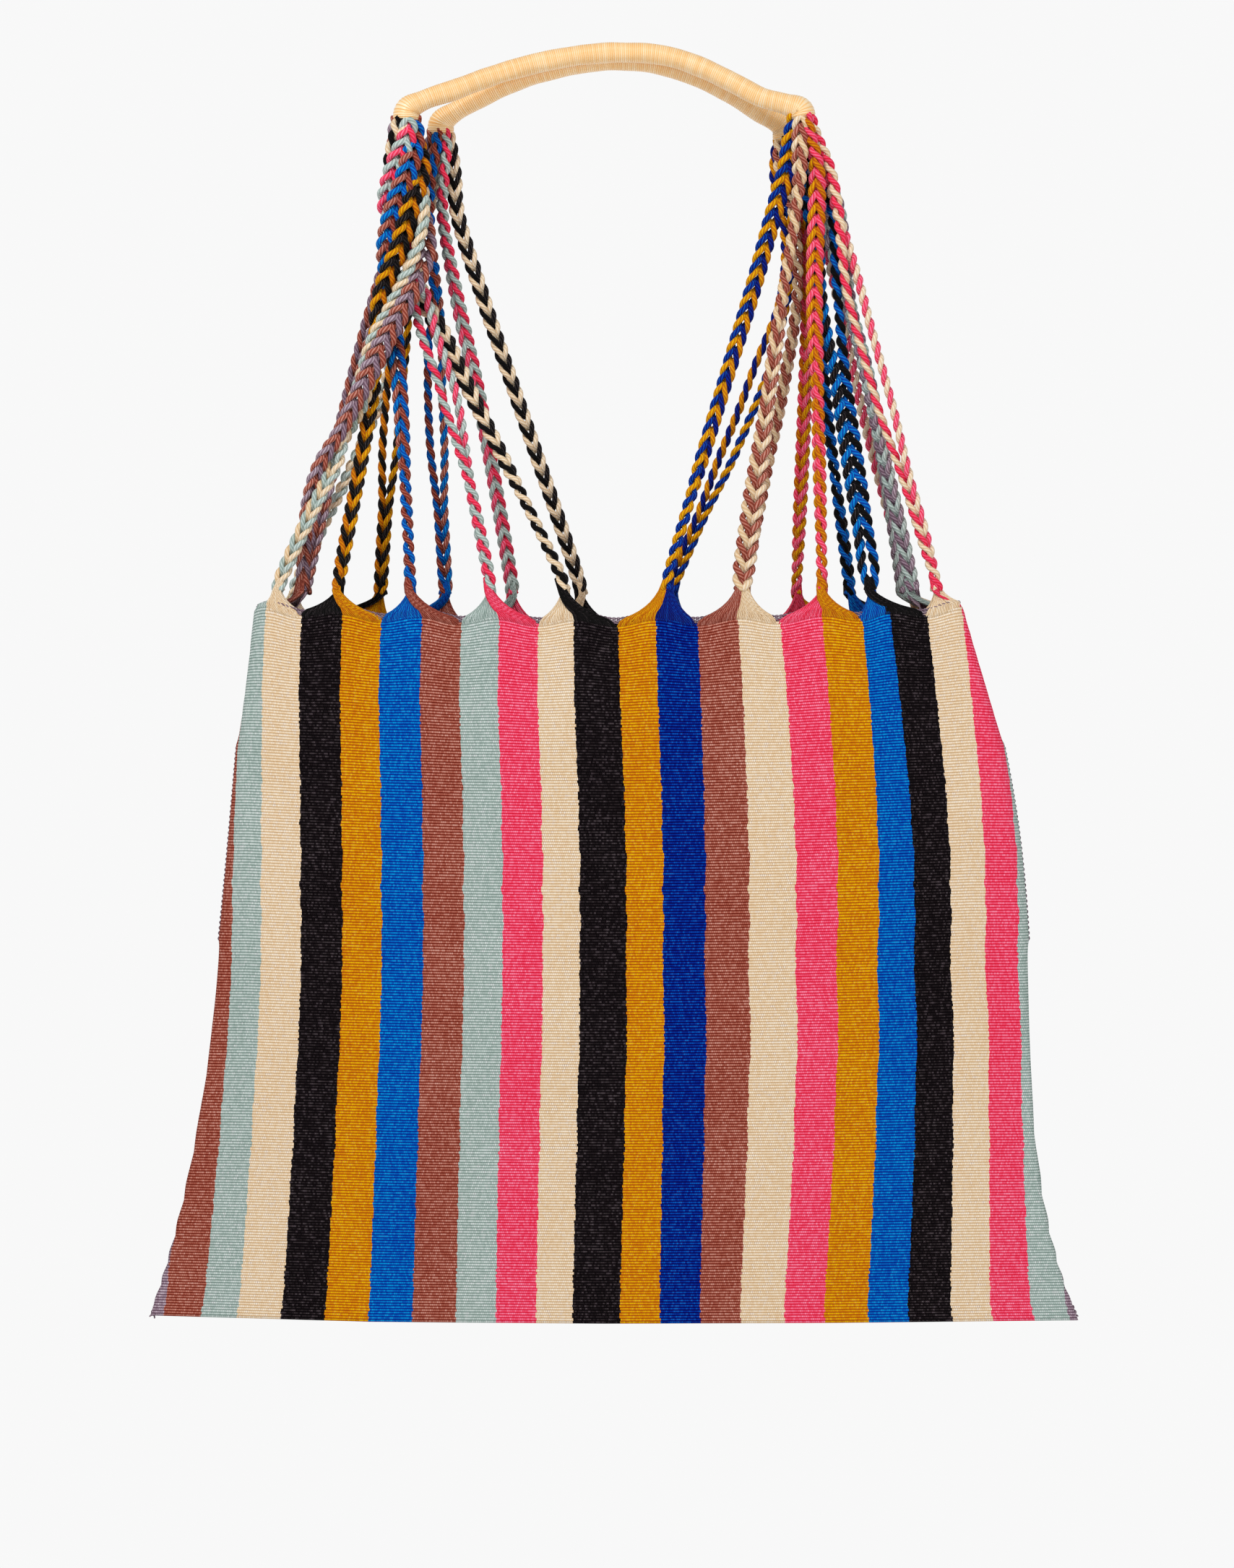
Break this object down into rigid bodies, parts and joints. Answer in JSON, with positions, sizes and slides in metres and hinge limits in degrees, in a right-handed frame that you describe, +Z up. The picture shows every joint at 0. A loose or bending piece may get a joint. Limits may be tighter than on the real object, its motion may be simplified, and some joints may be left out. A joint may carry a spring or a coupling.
{
  "type": "woven hammock bag",
  "caption": "Striped woven tote with folded sides, hung from two wrapped bar grips by fans of braided cords.",
  "frame": {"origin": "under the middle of the front grip, on the line where a hook or a hand carries both grips", "axes": "+Z up along the hanging bag, +X to the right across its front, front panel facing -Y"},
  "size_m": [0.4818, 0.0786, 0.6646],
  "materials": {
    "cloth": "matt warp-faced cotton weave in many coloured stripes",
    "lilac_yarn": "matt twisted cotton",
    "brown_yarn": "matt twisted cotton",
    "aqua_yarn": "matt twisted cotton",
    "cream_yarn": "matt twisted cotton",
    "black_yarn": "matt twisted cotton",
    "mustard_yarn": "matt twisted cotton",
    "blue_yarn": "matt twisted cotton",
    "pink_yarn": "matt twisted cotton",
    "grip_yarn": "smooth wound yarn with a soft sheen"
  },
  "bodies": {
    "bag": {"bag_cloth": "cloth", "left_side_seam": "lilac_yarn", "right_side_seam": "lilac_yarn", "front_rim_heading": "lilac_yarn", "front_gather_brown_lilac": "brown_yarn", "front_gather_aqua_cream": "aqua_yarn", "front_gather_black_mustard": "black_yarn", "front_gather_blue_brown": "blue_yarn", "front_gather_aqua_pink": "aqua_yarn", "front_gather_cream_black": "cream_yarn", "front_gather_mustard_royal": "mustard_yarn", "front_gather_brown_cream": "brown_yarn", "front_gather_pink_mustard": "pink_yarn", "front_gather_blue_black": "blue_yarn", "front_gather_cream_pink": "cream_yarn", "front_gather_aqua_lilac": "aqua_yarn", "back_rim_heading": "lilac_yarn", "back_gather_brown_lilac": "brown_yarn", "back_gather_aqua_cream": "aqua_yarn", "back_gather_black_mustard": "black_yarn", "back_gather_blue_brown": "blue_yarn", "back_gather_aqua_pink": "aqua_yarn", "back_gather_cream_black": "cream_yarn", "back_gather_mustard_royal": "mustard_yarn", "back_gather_brown_cream": "brown_yarn", "back_gather_pink_mustard": "pink_yarn", "back_gather_blue_black": "blue_yarn", "back_gather_cream_pink": "cream_yarn", "back_gather_aqua_lilac": "aqua_yarn"},
    "front_handle": {"front_grip_wrap": "grip_yarn", "front_grip_core": "cream_yarn", "front_cord_brown_lilac": "brown_yarn", "front_cord_aqua_cream": "aqua_yarn", "front_cord_black_mustard": "black_yarn", "front_cord_blue_brown": "blue_yarn", "front_cord_aqua_pink": "aqua_yarn", "front_cord_cream_black": "cream_yarn", "front_cord_mustard_royal": "mustard_yarn", "front_cord_brown_cream": "brown_yarn", "front_cord_pink_mustard": "pink_yarn", "front_cord_blue_black": "blue_yarn", "front_cord_cream_pink": "cream_yarn", "front_cord_aqua_lilac": "aqua_yarn"},
    "back_handle": {"back_grip_wrap": "grip_yarn", "back_grip_core": "cream_yarn", "back_cord_brown_lilac": "brown_yarn", "back_cord_aqua_cream": "aqua_yarn", "back_cord_black_mustard": "black_yarn", "back_cord_blue_brown": "blue_yarn", "back_cord_aqua_pink": "aqua_yarn", "back_cord_cream_black": "cream_yarn", "back_cord_mustard_royal": "mustard_yarn", "back_cord_brown_cream": "brown_yarn", "back_cord_pink_mustard": "pink_yarn", "back_cord_blue_black": "blue_yarn", "back_cord_cream_pink": "cream_yarn", "back_cord_aqua_lilac": "aqua_yarn"}
  },
  "joints": [
    {"name": "front_handle_fold", "type": "hinge", "parent": "bag", "child": "front_handle", "pos_m": [0, -0.0366, -0.272], "axis": [1, 0, 0], "range_deg": [0, 110]},
    {"name": "back_handle_fold", "type": "hinge", "parent": "bag", "child": "back_handle", "pos_m": [0, 0.0366, -0.272], "axis": [-1, 0, 0], "range_deg": [0, 110]}
  ]
}
